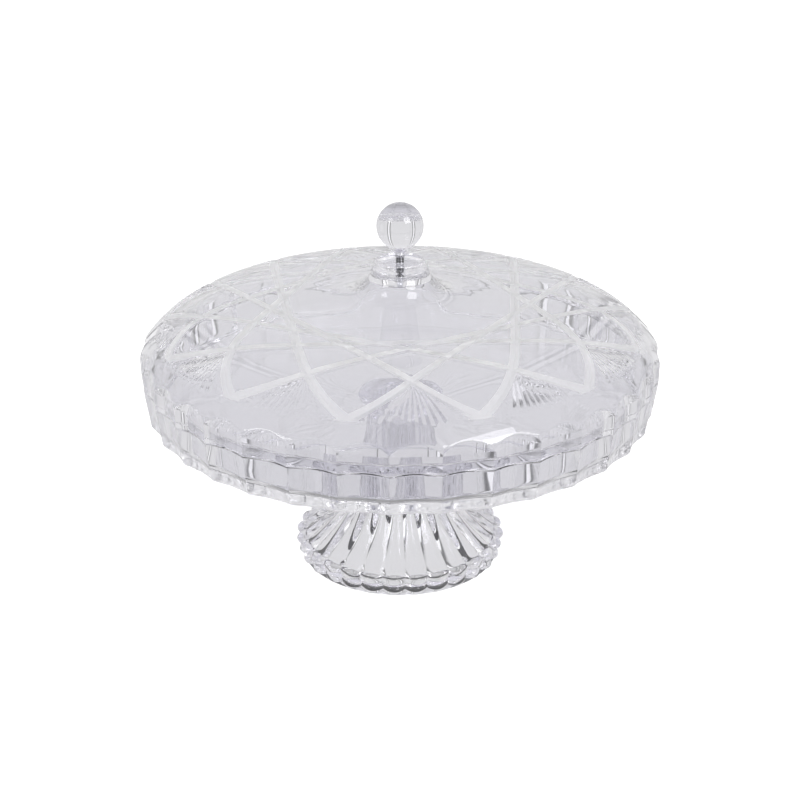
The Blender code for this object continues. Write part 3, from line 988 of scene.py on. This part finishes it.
def make_surroundings():
    """Even pale surroundings with narrow dark and bright flags all round."""
    world = bpy.data.worlds.new("studio")
    bpy.context.scene.world = world
    world.use_nodes = True
    tree = world.node_tree
    background = tree.nodes["Background"]
    coords = tree.nodes.new("ShaderNodeTexCoord")
    split = tree.nodes.new("ShaderNodeSeparateXYZ")
    tree.links.new(coords.outputs["Generated"], split.inputs["Vector"])
    upright = world_ramp(tree, split.outputs["Z"], STUDIO_GREYS)
    heading = math_node(tree, "ARCTAN2", split.outputs["X"], split.outputs["Y"])
    swing = math_node(tree, "COSINE", math_node(tree, "MULTIPLY", heading, SIDE_FLAGS))
    flags = world_ramp(tree, swing, FLAG_GREYS)
    tree.links.new(world_product(tree, upright, flags), background.inputs["Color"])
    background.inputs["Strength"].default_value = STUDIO_STRENGTH


def make_lights():
    """Two small key lights, and a wide fill overhead that glass and reflections don't see."""
    aim = (0.0, 0.0, 0.1)
    make_softbox("key_left", place=(-2.1, -1.2, 1.8), target=aim, side=0.9, power=14.0)
    make_softbox("key_right", place=(1.5, -1.75, 2.0), target=aim, side=1.4, power=40.0)
    below = (0.0, 0.8, 0.0)
    fill = make_softbox("fill", place=(0.0, 0.8, 4.0), target=below, side=4.0, power=230.0)
    hide_from(fill, "glossy", "transmission")


def make_camera():
    """Camera in front of the stand and a little above it."""
    data = bpy.data.cameras.new("camera")
    data.lens = CAMERA_LENS
    camera = bpy.data.objects.new("camera", data)
    level = CAMERA_RANGE * math.cos(CAMERA_ELEVATION)
    camera.location = CAMERA_TARGET + Vector((
        level * math.sin(CAMERA_TURN),
        -level * math.cos(CAMERA_TURN),
        CAMERA_RANGE * math.sin(CAMERA_ELEVATION),
    ))
    aim = CAMERA_TARGET - camera.location
    camera.rotation_euler = aim.to_track_quat("-Z", "Y").to_euler()
    bpy.context.scene.collection.objects.link(camera)
    bpy.context.scene.camera = camera


def set_light_paths():
    """Enough bounces for light to pass every wall of the glass."""
    scene = bpy.context.scene
    scene.cycles.max_bounces = LIGHT_BOUNCES
    scene.cycles.transmission_bounces = LIGHT_BOUNCES
    scene.cycles.glossy_bounces = LIGHT_BOUNCES
    scene.cycles.use_denoising = True
    scene.view_settings.view_transform = "Standard"


pressed = glass_material("clear_pressed_glass", 0.905)
solid = glass_material("clear_solid_glass", 0.9)
steel = metal_material("bright_steel", (0.82, 0.83, 0.85), 0.08, 0.2)
soft = gasket_material()

make_lid(pressed, satin_material())
make_plate(pressed)
make_foot(glass_material("clear_foot_glass", 0.895))
make_ball(solid)
make_disc(solid)
make_ferrule(
    metal_material("polished_chrome", (0.86, 0.86, 0.88), 0.03, 0.08),
    # The threaded sleeve is chrome coloured dark: a painted dark reflection of the surroundings, not
    # a finish of its own
    metal_material("chrome_thread_painted_dark", (0.16, 0.16, 0.17), 0.15, 0.3),
)
dress_nodes({
    "knob_screw": steel,
    "knob_insert": metal_material("bright_nickel", (0.93, 0.93, 0.94), 0.05, 0.12),
    "knob_gasket": soft,
    "lid_washer": soft,
    "foot_gasket": soft,
    "foot_washer": steel,
    "foot_screw": steel,
    "plate_insert": steel,
})
drop_shadows()
make_floor()
make_flag()
make_contact_shade()
make_surroundings()
make_lights()
make_camera()
set_light_paths()
